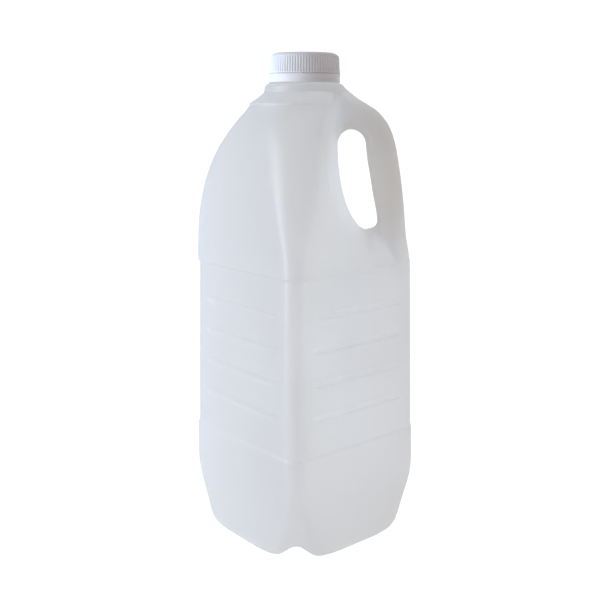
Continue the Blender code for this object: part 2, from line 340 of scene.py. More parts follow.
@dataclass
class RecessForm:
    """The room behind the grip, cut out of the shoulder with a leaning wall and floor."""

    bottom_x: float = 38.4
    bottom_z: float = 174.0
    radius_x: float = 18.2
    radius_z: float = 52.0
    wall_lean: float = 0.115
    floor_lean: float = 0.245
    bend_growth: float = 0.27
    floor_slope: float = 0.84
    knee_run: float = 16.6
    knee_slope: float = 0.41
    floor_softness: float = 3.0
    ridge_softness: float = 5.0
    edge_radius: float = 3.0
    low_edge_radius: float = 7.0
    edge_change: tuple[float, float] = (185.0, 235.0)
    least_steepness: float = 0.2
    top: float = 256.0

    def rim_radius(self, z: Array) -> Array:
        """Radius of the edge between the cut and the sides, larger low down."""
        share = eased(z, *self.edge_change)
        return self.low_edge_radius + share * (self.edge_radius - self.low_edge_radius)

    def distance(self, x: Array, y: Array, z: Array) -> Array:
        """Distance to the cut.

        Args:
            x: position towards the grip.
            y: position across the grip.
            z: height.

        Returns:
            The distances, negative inside the cut.
        """
        away = np.sqrt(y * y + self.ridge_softness**2) - self.ridge_softness
        bend_x = self.bottom_x + (self.bend_growth - self.wall_lean) * away
        radius_x = self.radius_x + self.bend_growth * away
        radius_z = self.radius_z + self.floor_lean * away
        squeeze = radius_x / radius_z
        past = x - bend_x
        soft = self.floor_softness
        drop = self.floor_slope * np.maximum(softened(past, soft) - soft / 2, 0.0)
        drop -= (self.floor_slope - self.knee_slope) * softened(past - self.knee_run, soft)
        p = -past
        q = squeeze * (self.bottom_z + self.radius_z - z - np.maximum(drop, 0.0))
        p_out = np.maximum(p, 0.0)
        q_out = np.maximum(q, 0.0)
        reach = np.hypot(p_out, q_out)
        cut = reach + np.minimum(np.maximum(p, q), 0.0) - radius_x
        safe = np.maximum(reach, TINY)
        steep = np.hypot(np.where(reach > 0, p_out / safe, 1.0), squeeze * q_out / safe)
        cut = cut / np.maximum(steep, self.least_steepness)
        return rounded_max(cut, z - self.top, self.edge_radius)


@dataclass
class GripForm:
    """The hollow grip: its outer edge is a rounded right angle, its sides are flat."""

    half_width: float = 12.6
    nose_radius: float = 13.0
    low_side_edge_radius: float = 1.5
    high_side_edge_radius: float = 4.0
    side_edge_change: tuple[float, float] = (185.0, 235.0)
    inner_radius: float = 4.5
    inner_limit: float = 5.0
    ceiling: float = 234.9
    ceiling_radius: float = 9.0
    foot: float = 143.0
    head: float = 260.0
    least_fillet: float = 0.4
    largest_fillet: float = 9.0
    edge_fillet: float = 0.5
    fillet_growth: float = 1.1
    fillet_rise: tuple[float, float] = (148.0, 172.0)
    head_fillet: float = 1.6
    head_fillet_rise: tuple[float, float] = (240.0, 250.0)
    outer_points: tuple[tuple[float, float], ...] = (
        (140.0, 61.0), (150.0, 62.4), (157.0, 63.2), (164.0, 62.4), (170.0, 61.4), (178.0, 60.7),
        (187.0, 60.1), (204.7, 58.3), (223.0, 55.5), (230.0, 53.8), (236.6, 51.2), (242.0, 47.6),
        (246.0, 43.8), (249.4, 38.8), (251.8, 34.8), (254.2, 30.6), (256.4, 26.5), (258.6, 20.4),
        (262.0, 12.0),
    )  # fmt: skip
    gap_points: tuple[tuple[float, float], ...] = (
        (140.0, 40.0), (160.0, 42.0), (172.0, 43.6), (180.0, 43.9), (186.0, 43.4), (192.0, 42.3),
        (198.0, 41.2), (204.0, 40.3), (210.0, 39.3), (216.0, 38.3), (222.0, 37.6), (228.0, 37.2),
        (240.0, 37.0), (262.0, 37.0),
    )  # fmt: skip

    def __post_init__(self) -> None:
        """Makes the two edge curves of the grip."""
        self.outer = Curve(self.outer_points)
        self.gap = Curve(self.gap_points)

    def distance(self, x: Array, y: Array, z: Array) -> tuple[Array, Array]:
        """Distance to the grip.

        Args:
            x: position towards the grip.
            y: position across the grip.
            z: height.

        Returns:
            The distances, negative inside, and the radius of the fillet where it meets the body.
        """
        away = np.abs(y)
        out = (x - self.outer(z)) / np.hypot(1.0, self.outer.steepness(z))
        inset = self.nose_radius * (1 - 1 / math.sqrt(2))
        facing = (out + away) / math.sqrt(2) - inset
        turned = (out - away) / math.sqrt(2) - inset
        nose = rounded_max(facing, turned, self.nose_radius)
        edge_growth = self.high_side_edge_radius - self.low_side_edge_radius
        side_edge = self.low_side_edge_radius + edge_growth * eased(z, *self.side_edge_change)
        grip = rounded_max(nose, away - self.half_width, side_edge)
        gap = rounded_max(x - self.gap(z), z - self.ceiling, self.ceiling_radius)
        grip = rounded_max(grip, -gap, self.inner_radius)
        ends = np.maximum(self.foot - z, z - self.head)
        grip = np.maximum(grip, np.maximum(ends, self.inner_limit - x))
        grown = self.edge_fillet - self.fillet_growth * facing
        fillet = np.clip(grown, self.least_fillet, self.largest_fillet)
        fillet = fillet * eased(z, *self.fillet_rise) + self.least_fillet
        return grip, fillet + self.head_fillet * eased(z, *self.head_fillet_rise)


@dataclass
class NeckForm:
    """The collar, the bead and the round neck under the cap."""

    collar_radius: float = 24.1
    collar_bottom: float = 257.1
    collar_top: float = 262.1
    collar_edge: float = 2.7
    collar_overlap: float = 1.0
    bead_radius: float = 21.3
    bead_top: float = 262.75
    bead_edge: float = 0.4
    neck_radius: float = 18.2
    neck_top: float = 278.8
    mouth_edge: float = 0.5
    bore_radius: float = 16.4
    bore_overrun: float = 2.5
    root: float = 250.0

    def distance(self, x: Array, y: Array, z: Array) -> Array:
        """Distance to the neck, whose root lies inside the body.

        Args:
            x: position towards the grip.
            y: position across the grip.
            z: height.

        Returns:
            The distances, negative inside.
        """
        out = np.hypot(x, y)
        collar = rounded_max(out - self.collar_radius, z - self.collar_top, self.collar_edge)
        collar = np.maximum(collar, self.collar_bottom - self.collar_overlap - z)
        bead = rounded_max(out - self.bead_radius, z - self.bead_top, self.bead_edge)
        tube = rounded_max(out - self.neck_radius, z - self.neck_top, self.mouth_edge)
        bead_and_tube = np.maximum(np.minimum(bead, tube), self.root - z)
        return np.minimum(collar, bead_and_tube)

    def bore(self, x: Array, y: Array, z: Array) -> Array:
        """Distance to the bore, which runs out past the top of the neck."""
        ends = np.maximum(self.root - z, z - self.neck_top - self.bore_overrun)
        return np.maximum(np.hypot(x, y) - self.bore_radius, ends)


@dataclass
class BottleForm:
    """The whole bottle as one distance field, outside and inside."""

    body: BodyForm = field(default_factory=BodyForm)
    recess: RecessForm = field(default_factory=RecessForm)
    grip: GripForm = field(default_factory=GripForm)
    neck: NeckForm = field(default_factory=NeckForm)
    wall: float = 1.0
    shoulder_wall: float = 1.5
    bore_fillet: float = 2.0
    handle_side_limit: float = 65.0
    handle_side_edge: float = 2.0
    least_root_fillet: float = 0.5
    root_fillet_growth: float = 1.2
    root_fillet_reach: tuple[float, float] = (12.0, 22.0)

    def blown(self, x: Array, y: Array, z: Array) -> Array:
        """Distance to the blown shape without its neck.

        Args:
            x: position towards the grip.
            y: position across the grip.
            z: height.

        Returns:
            The distances, negative inside.
        """
        body = self.body.distance(x, y, z)
        cut = self.recess.distance(x, y, z)
        body = rounded_max(body, -cut, self.recess.rim_radius(z))
        body = rounded_max(body, x - self.handle_side_limit, self.handle_side_edge)
        grip, fillet = self.grip.distance(x, y, z)
        return rounded_min(body, grip, fillet)

    def outside(self, x: Array, y: Array, z: Array) -> Array:
        """Distance to the outer skin.

        Args:
            x: position towards the grip.
            y: position across the grip.
            z: height.

        Returns:
            The distances, negative inside.
        """
        growth = self.root_fillet_growth * eased(x, *self.root_fillet_reach)
        fillet = self.least_root_fillet + growth
        return rounded_min(self.blown(x, y, z), self.neck.distance(x, y, z), fillet)

    def hollow(self, x: Array, y: Array, z: Array) -> Array:
        """Distance to the hollow inside the wall, which runs out through the neck.

        Args:
            x: position towards the grip.
            y: position across the grip.
            z: height.

        Returns:
            The distances, negative where there is no plastic.
        """
        ceiling = z - self.body.top + self.shoulder_wall
        cavity = np.maximum(self.blown(x, y, z) + self.wall, ceiling)
        return rounded_min(cavity, self.neck.bore(x, y, z), self.bore_fillet)


# ------------------------------------------------------------------- meshing


def graded(
    start: float, end: float, coarse: float, finer: Iterable[Stretch] = ()
) -> Array:
    """Positions from start to end, closer together in some stretches.

    Args:
        start: first position.
        end: last position, reached or just passed.
        coarse: spacing where nothing else is asked for.
        finer: stretches as (from, to, spacing).

    Returns:
        The positions in rising order.
    """
    stretches = list(finer)
    positions = [start]
    while positions[-1] < end:
        here = positions[-1]
        spacing = [gap for low, high, gap in stretches if low <= here < high]
        step = min([coarse, *spacing])
        ahead = [low - here for low, _, _ in stretches if SAME_HEIGHT < low - here < step]
        positions.append(here + max(min([step, *ahead]), LEAST_GAP))
    return np.array(positions)


Field = Callable[[Array, Array, Array], Array]


@dataclass
class Skin:
    """Turns a distance field into a closed mesh of quads, with every point on the surface."""

    across: Array
    heights: Array
    nudge: float = 0.05
    settling: int = 4
    longest_move: float = 0.6
    least_square_slope: float = 0.05
    layers_at_once: int = 16

    def sample(self, distance: Field) -> Array:
        """The field at every crossing of the lines, worked out a few layers at a time.

        Args:
            distance: the field.

        Returns:
            Its values, by the two lines across and the height.
        """
        u = self.across[:, None]
        v = self.across[None, :]
        x = (u + v) / math.sqrt(2)
        y = (u - v) / math.sqrt(2)
        starts = np.arange(self.layers_at_once, len(self.heights), self.layers_at_once)
        layers = [
            distance(x[..., None], y[..., None], heights[None, None, :])
            for heights in np.split(self.heights, starts)
        ]
        return np.concatenate(layers, axis=2)

    @staticmethod
    def crossed(values: Array, axis: int) -> tuple[Array, Array, tuple[Array, ...]]:
        """The cell edges along one axis that the surface crosses.

        Args:
            values: the field at every crossing of the lines.
            axis: the axis that the edges run along.

        Returns:
            The field at their low ends and at their high ends, and their indices, this axis first.
        """
        low = np.moveaxis(values, axis, 0)[:-1]
        high = np.moveaxis(values, axis, 0)[1:]
        where = np.nonzero((low < 0) != (high < 0))
        return low[where], high[where], where

    def crossings(self, values: Array) -> tuple[Array, Array]:
        """Where the surface crosses each cell.

        Args:
            values: the field at every crossing of the lines.

        Returns:
            The mean crossing of each cell as (u, v, z), and how many of its edges are crossed.
        """
        lines = (self.across, self.across, self.heights)
        shape = tuple(n - 1 for n in values.shape)
        total = np.zeros((*shape, 3))
        count = np.zeros(shape)
        for axis in range(3):
            low, high, where = self.crossed(values, axis)
            share = low / (low - high)
            others = [other for other in range(3) if other != axis]
            point = np.empty((len(share), 3))
            along = lines[axis]
            point[:, axis] = along[where[0]] + share * (along[where[0] + 1] - along[where[0]])
            for slot, other in enumerate(others):
                point[:, other] = lines[other][where[slot + 1]]
            for back in ((0, 0), (0, 1), (1, 0), (1, 1)):
                cell = [None, None, None]
                cell[axis] = where[0]
                for slot, other in enumerate(others):
                    cell[other] = where[slot + 1] - back[slot]
                np.add.at(total, tuple(cell), point)
                np.add.at(count, tuple(cell), 1)
        return total, count

    def faces(self, values: Array, number: Array) -> Array:
        """A quad round each crossed edge, facing out.

        Args:
            values: the field at every crossing of the lines.
            number: the index of each cell's point.

        Returns:
            Rows of four point indices.
        """
        found = []
        for axis in range(3):
            _, high, where = self.crossed(values, axis)
            others = [(axis + 1) % 3, (axis + 2) % 3]
            order = [other for other in range(3) if other != axis]
            at = dict(zip([axis, *order], where))
            corners = []
            for back in ((0, 0), (1, 0), (1, 1), (0, 1)):
                cell = [None, None, None]
                cell[axis] = at[axis]
                cell[others[0]] = at[others[0]] - back[0]
                cell[others[1]] = at[others[1]] - back[1]
                corners.append(number[tuple(cell)])
            quads = np.stack(corners, axis=1)
            inward = high < 0
            quads[inward] = quads[inward][:, ::-1]
            found.append(quads)
        return np.concatenate(found)

    def settled(self, distance: Field, points: Array) -> Array:
        """Moves points onto the surface along the slope of the field.

        Args:
            distance: the field.
            points: points near its surface.

        Returns:
            The moved points.
        """
        for _ in range(self.settling):
            value = distance(*points.T)
            slope = np.empty_like(points)
            for axis in range(3):
                step = np.zeros(3)
                step[axis] = self.nudge
                ahead = distance(*(points + step).T)
                behind = distance(*(points - step).T)
                slope[:, axis] = (ahead - behind) / (2 * self.nudge)
            square = np.maximum((slope**2).sum(axis=1), self.least_square_slope)
            move = slope * (value / square)[:, None]
            length = np.maximum(np.linalg.norm(move, axis=1), TINY)
            points = points - move * np.minimum(1.0, self.longest_move / length)[:, None]
        return points

    def mesh(self, name: str, distance: Field) -> bpy.types.Mesh:
        """The surface of a field as a mesh in metres.

        Args:
            name: name of the mesh.
            distance: the field.

        Returns:
            A new mesh with smooth shading.
        """
        values = self.sample(distance)
        total, count = self.crossings(values)
        used = count > 0
        number = np.full(count.shape, -1, np.int64)
        number[used] = np.arange(used.sum())
        mean = total[used] / count[used][:, None]
        root_half = math.sqrt(0.5)
        u, v, z = mean.T
        points = np.stack([(u + v) * root_half, (u - v) * root_half, z], axis=1)
        points = self.settled(distance, points)
        # Swapping the two turned axes mirrors the grid, so each quad is turned round again.
        quads = self.faces(values, number)[:, ::-1]
        return mesh_of(name, points, quads)


def mesh_of(name: str, points: Array, quads: Array) -> bpy.types.Mesh:
    """A smooth mesh in metres from points in millimetres.

    Args:
        name: name of the mesh.
        points: rows of (x, y, z).
        quads: rows of four point indices.

    Returns:
        The mesh.
    """
    mesh = bpy.data.meshes.new(name)
    mesh.vertices.add(len(points))
    mesh.vertices.foreach_set("co", (points * MM).astype(np.float32).ravel())
    mesh.loops.add(quads.size)
    mesh.loops.foreach_set("vertex_index", quads.astype(np.int32).ravel())
    mesh.polygons.add(len(quads))
    starts = np.arange(len(quads), dtype=np.int32) * quads.shape[1]
    mesh.polygons.foreach_set("loop_start", starts)
    mesh.update(calc_edges=True)
    mesh.validate()
    mesh.shade_smooth()
    return mesh


def object_of(name: str, mesh: bpy.types.Mesh) -> bpy.types.Object:
    """Puts a mesh in the scene.

    Args:
        name: name of the object.
        mesh: its mesh.

    Returns:
        The object.
    """
    piece = bpy.data.objects.new(name, mesh)
    bpy.context.scene.collection.objects.link(piece)
    return piece


def plain(rings: Array, angles: Array) -> tuple[Array, Array]:
    """Radius and height of each point of a form of revolution with nothing on it."""
    shape = (len(rings), len(angles))
    return np.broadcast_to(rings[:, :1], shape), np.broadcast_to(rings[:, 1:], shape)


def weld(mesh: bpy.types.Mesh) -> None:
    """Joins the points that lie on the axis, where a section starts or ends there.

    Args:
        mesh: the mesh, which is changed.
    """
    shape = bmesh.new()
    shape.from_mesh(mesh)
    bmesh.ops.remove_doubles(shape, verts=shape.verts, dist=SAME_POINT)
    shape.to_mesh(mesh)
    shape.free()


def revolved(
    name: str,
    profile: Sequence[tuple[float, float]],
    relief: Callable[[Array, Array], tuple[Array, Array]],
    columns: int,
    closed: bool = True,
) -> bpy.types.Mesh:
    """A form of revolution with detail round it.

    Args:
        name: name of the mesh.
        profile: (radius, height) points along the section.
        relief: gives the radius and height of each point from the profile and the angles.
        columns: number of points round the axis.
        closed: whether the section's last point joins its first. An open section may start
            and end on the axis.

    Returns:
        The mesh.
    """
    rings = np.array(profile, float)
    angles = np.linspace(0, 2 * math.pi, columns, endpoint=False)
    radius, z = relief(rings, angles)
    x = radius * np.cos(angles)[None, :]
    y = radius * np.sin(angles)[None, :]
    points = np.stack([x, y, z], axis=2).reshape(-1, 3)
    ring = np.arange(len(rings) if closed else len(rings) - 1)
    following = (ring + 1) % len(rings)
    column = np.arange(columns)
    beside = (column + 1) % columns
    quads = np.stack(
        [
            ring[:, None] * columns + column[None, :],
            ring[:, None] * columns + beside[None, :],
            following[:, None] * columns + beside[None, :],
            following[:, None] * columns + column[None, :],
        ],
        axis=2,
    ).reshape(-1, 4)
    mesh = mesh_of(name, points, quads)
    if not closed:
        weld(mesh)
    return mesh


# ----------------------------------------------------------------- materials


class Socket:
    """An output of a shader node that can be used in sums."""

    def __init__(self, graph: "Graph", output: bpy.types.NodeSocket) -> None:
        """Keeps the output and the graph that it belongs to."""
        self.graph = graph
        self.output = output

    def _with(self, operation: str, first: "Socket | float", second: "Socket | float") -> "Socket":
        """A Math node on two values."""
        return self.graph.node("ShaderNodeMath", {"operation": operation}, {0: first, 1: second})

    def __add__(self, other: "Socket | float") -> "Socket":
        """Sum."""
        return self._with("ADD", self, other)

    __radd__ = __add__

    def __mul__(self, other: "Socket | float") -> "Socket":
        """Product."""
        return self._with("MULTIPLY", self, other)

    __rmul__ = __mul__

    def __sub__(self, other: "Socket | float") -> "Socket":
        """Difference."""
        return self._with("SUBTRACT", self, other)

    def __rsub__(self, other: "Socket | float") -> "Socket":
        """Difference the other way round, so that 1 - mask works."""
        return self._with("SUBTRACT", other, self)

    def step(self, start: float, end: float) -> "Socket":
        """A smooth step.

        Args:
            start: the value up to which it stays 0.
            end: the value from which it stays 1.

        Returns:
            The step.
        """
        settings = {"interpolation_type": "SMOOTHSTEP"}
        inputs = {0: self, 1: start, 2: end, 3: 0.0, 4: 1.0}
        return self.graph.node("ShaderNodeMapRange", settings, inputs)


Value = Socket | float | Sequence[float]


class Graph:
    """A tree of shader nodes."""

    def __init__(self, tree: bpy.types.NodeTree) -> None:
        """Keeps the tree that nodes are added to."""
        self.tree = tree

    def node(
        self,
        kind: str,
        settings: dict[str, object],
        inputs: dict[str | int, Value],
        output: str | int = 0,
    ) -> Socket:
        """Adds a node.

        Args:
            kind: the node's type.
            settings: its properties, set before its inputs.
            inputs: values or links, by socket name or index.
            output: which output to return.

        Returns:
            The chosen output.
        """
        made = self.tree.nodes.new(kind)
        for name, value in settings.items():
            setattr(made, name, value)
        for key, value in inputs.items():
            self.feed(made.inputs[key], value)
        return Socket(self, made.outputs[output])

    def feed(self, entry: bpy.types.NodeSocket, value: Value) -> None:
        """Links a socket to an input, or sets the input's own value.

        Args:
            entry: the input.
            value: the socket, or the value itself.
        """
        if isinstance(value, Socket):
            self.tree.links.new(value.output, entry)
        else:
            entry.default_value = value

    def mix(self, share: Value, first: Value, second: Value) -> Socket:
        """A colour between two others."""
        settings = {"data_type": "RGBA"}
        return self.node("ShaderNodeMix", settings, {0: share, 6: first, 7: second}, 2)

    def place(self) -> Socket:
        """The point on the object, in metres."""
        return self.node("ShaderNodeTexCoord", {}, {}, "Object")

    def direction(self) -> Socket:
        """The direction into the surroundings, for a world."""
        return self.node("ShaderNodeTexCoord", {}, {}, "Generated")

    def vector_maths(
        self, operation: str, first: Value, second: Value, output: str = "Vector"
    ) -> Socket:
        """A Vector Math node on two vectors or colours.

        Args:
            operation: what it works out.
            first: a vector or colour.
            second: another.
            output: the output to return, "Value" where the result is a number.

        Returns:
            The chosen output.
        """
        inputs = {0: first, 1: second}
        return self.node("ShaderNodeVectorMath", {"operation": operation}, inputs, output)

    def scaled(self, vector: Value, factor: Value) -> Socket:
        """A vector or colour times a number."""
        inputs = {0: vector, "Scale": factor}
        return self.node("ShaderNodeVectorMath", {"operation": "SCALE"}, inputs)

    def noise(self, vector: Socket, scale: float, detail: float = 2.0) -> Socket:
        """Smooth noise around 0.5."""
        inputs = {"Vector": vector, "Scale": scale, "Detail": detail}
        return self.node("ShaderNodeTexNoise", {}, inputs)

    def bump(self, height: Socket, strength: float, distance: float) -> Socket:
        """A normal disturbed by a height."""
        inputs = {"Height": height, "Strength": strength, "Distance": distance}
        return self.node("ShaderNodeBump", {}, inputs)


class Finish(Graph):
    """The nodes of one material round its Principled shader."""

    def __init__(self, name: str) -> None:
        """Starts a material with a Principled shader.

        Args:
            name: name of the material.
        """
        self.material = bpy.data.materials.new(name)
        self.material.use_nodes = True
        super().__init__(self.material.node_tree)
        self.shader = self.tree.nodes["Principled BSDF"]

    def shade(self, **inputs: Value) -> None:
        """Sets or links the Principled shader's inputs, with _ for each space."""
        for name, value in inputs.items():
            self.feed(self.shader.inputs[name.replace("_", " ")], value)

    def let_through(self, share: Value, colour: Value) -> None:
        """Lets light from behind the wall through.

        Args:
            share: how much of the surface does that, from 0 to 1.
            colour: the tint of the light that comes through.
        """
        front = Socket(self, self.shader.outputs[0])
        behind = self.node("ShaderNodeBsdfTranslucent", {}, {"Color": colour})
        both = self.node("ShaderNodeMixShader", {}, {0: share, 1: front, 2: behind})
        self.feed(self.tree.nodes["Material Output"].inputs["Surface"], both)


def opaque(colour: Colour) -> tuple[float, float, float, float]:
    """A colour with full alpha."""
    return (*colour, 1.0)


@dataclass(frozen=True)
class NaturalPlastic:
    """Natural blown plastic: milky, waxy, a little streaky from the die."""

    name: str = "natural_bottle_plastic"
    pale: Colour = (0.80, 0.80, 0.80)
    dense: Colour = (0.74, 0.74, 0.74)
    through: Colour = (0.975, 0.965, 0.94)
    least_through: float = 0.82
    most_through: float = 0.87
    roughness: float = 0.33
    gloss_ior: float = 2.4
    cloud_scale: float = 22.0
    cloud_detail: float = 3.0
    streak_scale: float = 260.0
    streak_squeeze: tuple[float, float, float] = (1.0, 1.0, 0.04)
    streak_share: float = 0.3
    grain_scale: float = 900.0
    density_range: tuple[float, float] = (0.35, 0.68)
    grain_roughness: float = 0.12
    cloud_roughness: float = 0.10
    relief_strength: float = 0.25
    relief_depth: float = 0.00012
    relief_streaks: float = 0.65

    def material(self) -> bpy.types.Material:
        """Makes the finish.

        Returns:
            Its material.
        """
        graph = Finish(self.name)
        place = graph.place()
        cloud = graph.noise(place, self.cloud_scale, self.cloud_detail)
        squeezed = graph.vector_maths("MULTIPLY", place, self.streak_squeeze)
        streaks = graph.noise(squeezed, self.streak_scale)
        grain = graph.noise(place, self.grain_scale)
        density = cloud * (1 - self.streak_share) + streaks * self.streak_share
        density = density.step(*self.density_range)
        colour = graph.mix(density, opaque(self.pale), opaque(self.dense))
        rough = self.roughness + (grain - 0.5) * self.grain_roughness
        rough = rough + (cloud - 0.5) * self.cloud_roughness
        relief = grain * (1 - self.relief_streaks) + streaks * self.relief_streaks
        graph.shade(
            Base_Color=colour,
            Roughness=rough,
            Normal=graph.bump(relief, self.relief_strength, self.relief_depth),
            IOR=self.gloss_ior,
            Specular_IOR_Level=1.0,
        )
        thinness = 1 - density
        spread = self.most_through - self.least_through
        graph.let_through(self.least_through + thinness * spread, opaque(self.through))
        return graph.material


@dataclass(frozen=True)
class CapPlastic:
    """Opaque white moulded plastic with a satin surface."""

    name: str = "white_cap_plastic"
    colour: Colour = (0.82, 0.82, 0.83)
    shade_colour: Colour = (0.77, 0.77, 0.78)
    roughness: float = 0.42
    gloss_ior: float = 1.5
    cloud_scale: float = 90.0
    cloud_detail: float = 3.0
    cloud_range: tuple[float, float] = (0.35, 0.7)
    grain_scale: float = 1400.0
    grain_roughness: float = 0.14
    relief_strength: float = 0.2
    relief_depth: float = 0.00006
    light_share: float = 0.25
    light_reach: Colour = (1.0, 0.9, 0.85)
    light_depth: float = 0.0015

    def material(self) -> bpy.types.Material:
        """Makes the finish.

        Returns:
            Its material.
        """
        graph = Finish(self.name)
        place = graph.place()
        cloud = graph.noise(place, self.cloud_scale, self.cloud_detail)
        shaded = cloud.step(*self.cloud_range)
        grain = graph.noise(place, self.grain_scale)
        graph.shade(
            Base_Color=graph.mix(shaded, opaque(self.colour), opaque(self.shade_colour)),
            Roughness=self.roughness + (grain - 0.5) * self.grain_roughness,
            Normal=graph.bump(grain, self.relief_strength, self.relief_depth),
            IOR=self.gloss_ior,
            Subsurface_Weight=self.light_share,
            Subsurface_Radius=self.light_reach,
            Subsurface_Scale=self.light_depth,
        )
        return graph.material


@dataclass(frozen=True)
class FloorPaint:
    """The plain pale floor."""

    name: str = "pale_floor"
    colour: Colour = (0.60, 0.60, 0.60)
    darkening: float = 0.98
    haze_scale: float = 3.0
    roughness: float = 0.8
    glow_colour: Colour = (1.0, 1.0, 1.0)
    glow: float = 0.88

    def material(self) -> bpy.types.Material:
        """Makes the finish.

        Returns:
            Its material.
        """
        graph = Finish(self.name)
        haze = graph.noise(graph.place(), self.haze_scale)
        darker = tuple(part * self.darkening for part in self.colour)
        graph.shade(
            Base_Color=graph.mix(haze, opaque(self.colour), opaque(darker)),
            Roughness=self.roughness,
            Emission_Color=opaque(self.glow_colour),
            Emission_Strength=self.glow,
        )
        return graph.material


class Slot(Enum):
    """The record's material slots."""

    BOTTLE = "bottle"
    CAP = "cap"


def hand_over(piece: bpy.types.Object, slot: Slot, node: str) -> None:
    """Tells the frame where a finished piece belongs, and reports it.

    Args:
        piece: the finished piece.
        slot: the record's slot for its finish; not used.
        node: the solid that it stands for.
    """
    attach(piece, BODY)
    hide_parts(node)
    log.info("%s: %d faces", piece.name, len(piece.data.polygons))


# --------------------------------------------------------------------- pieces


@dataclass
class Bottle:
    """The blown bottle: an outer skin with the hollow cut out of it."""

    form: BottleForm = field(default_factory=BottleForm)
    finish: NaturalPlastic = field(default_factory=NaturalPlastic)
    name: str = "bottle_shell"
    pitch: float = 1.3
    reach: float = 50.3
    bottom: float = -1.6
    top: float = 281.0
    layer: float = 2.5
    base_layers: Stretch = (-2.0, 9.0, 0.9)
    flute_layers: Stretch = (9.0, 34.0, 1.4)
    shoulder_layers: Stretch = (156.4, 256.0, 1.35)
    neck_ring_layers: Stretch = (249.0, 251.0, 0.4)
    collar_layers: Stretch = (256.0, 263.2, 0.45)
    relief_layer: float = 0.3
    step_margin: float = 0.2
    groove_walls: tuple[float, float] = (0.7, 2.2)
    lining_pitch: float = 2.75
    lining_reach: float = 49.9
    lining_bottom: float = -1.1
    lining_top: float = 284.0
    lining_layers_per_groove: int = 7
    lining_neck_layers: Stretch = (246.0, 262.0, 1.3)

    def height_lines(self) -> Array:
        """Places the layers of points, closest where the relief is.

        Returns:
            Their heights.
        """
        body = self.form.body
        fine = self.relief_layer
        near = self.step_margin
        finer = [
            self.base_layers,
            self.flute_layers,
            (body.panel_bottom - body.low_step - near, body.panel_bottom + near, fine),
            (body.panel_top - near, body.panel_top + body.high_step + near, fine),
            self.shoulder_layers,
            self.neck_ring_layers,
            self.collar_layers,
        ]
        inner, outer = self.groove_walls
        for index in range(body.groove_count):
            middle = body.groove_top - index * body.groove_pitch
            finer.append((middle - outer, middle - inner, fine))
            finer.append((middle + inner, middle + outer, fine))
        return graded(self.bottom, self.top, self.layer, finer)

    def lining(self) -> bpy.types.Object:
        """Makes the hollow as a solid, with its layers in step with the grooves.

        Returns:
            The solid, which is removed once it has been cut out of the bottle.
        """
        layer = self.form.body.groove_pitch / self.lining_layers_per_groove
        layers = graded(self.lining_bottom, self.lining_top, layer, [self.lining_neck_layers])
        across = graded(-self.lining_reach, self.lining_reach, self.lining_pitch)
        mesh = Skin(across, layers).mesh("bottle_hollow", self.form.hollow)
        return object_of("bottle_hollow", mesh)

    def build(self) -> bpy.types.Object:
        """Makes the outer skin and takes the hollow out of it.

        Returns:
            The bottle, without a finish.
        """
        across = graded(-self.reach, self.reach, self.pitch)
        skin = Skin(across, self.height_lines())
        outside = object_of(self.name, skin.mesh(self.name, self.form.outside))
        inside = self.lining()
        cut = outside.modifiers.new("hollow", "BOOLEAN")
        cut.operation = "DIFFERENCE"
        cut.solver = "MANIFOLD"
        cut.object = inside
        graph = bpy.context.evaluated_depsgraph_get()
        hollowed = bpy.data.meshes.new_from_object(outside.evaluated_get(graph), depsgraph=graph)
        outside.modifiers.clear()
        outside.data = hollowed
        hollowed.shade_smooth()
        bpy.data.objects.remove(inside)
        return outside

    def dress(self, piece: bpy.types.Object) -> None:
        """Gives the bottle its finish and its place in the frame.

        Args:
            piece: the bottle.
        """
        piece.data.materials.clear()
        piece.data.materials.append(self.finish.material())
        hand_over(piece, Slot.BOTTLE, "bottle")


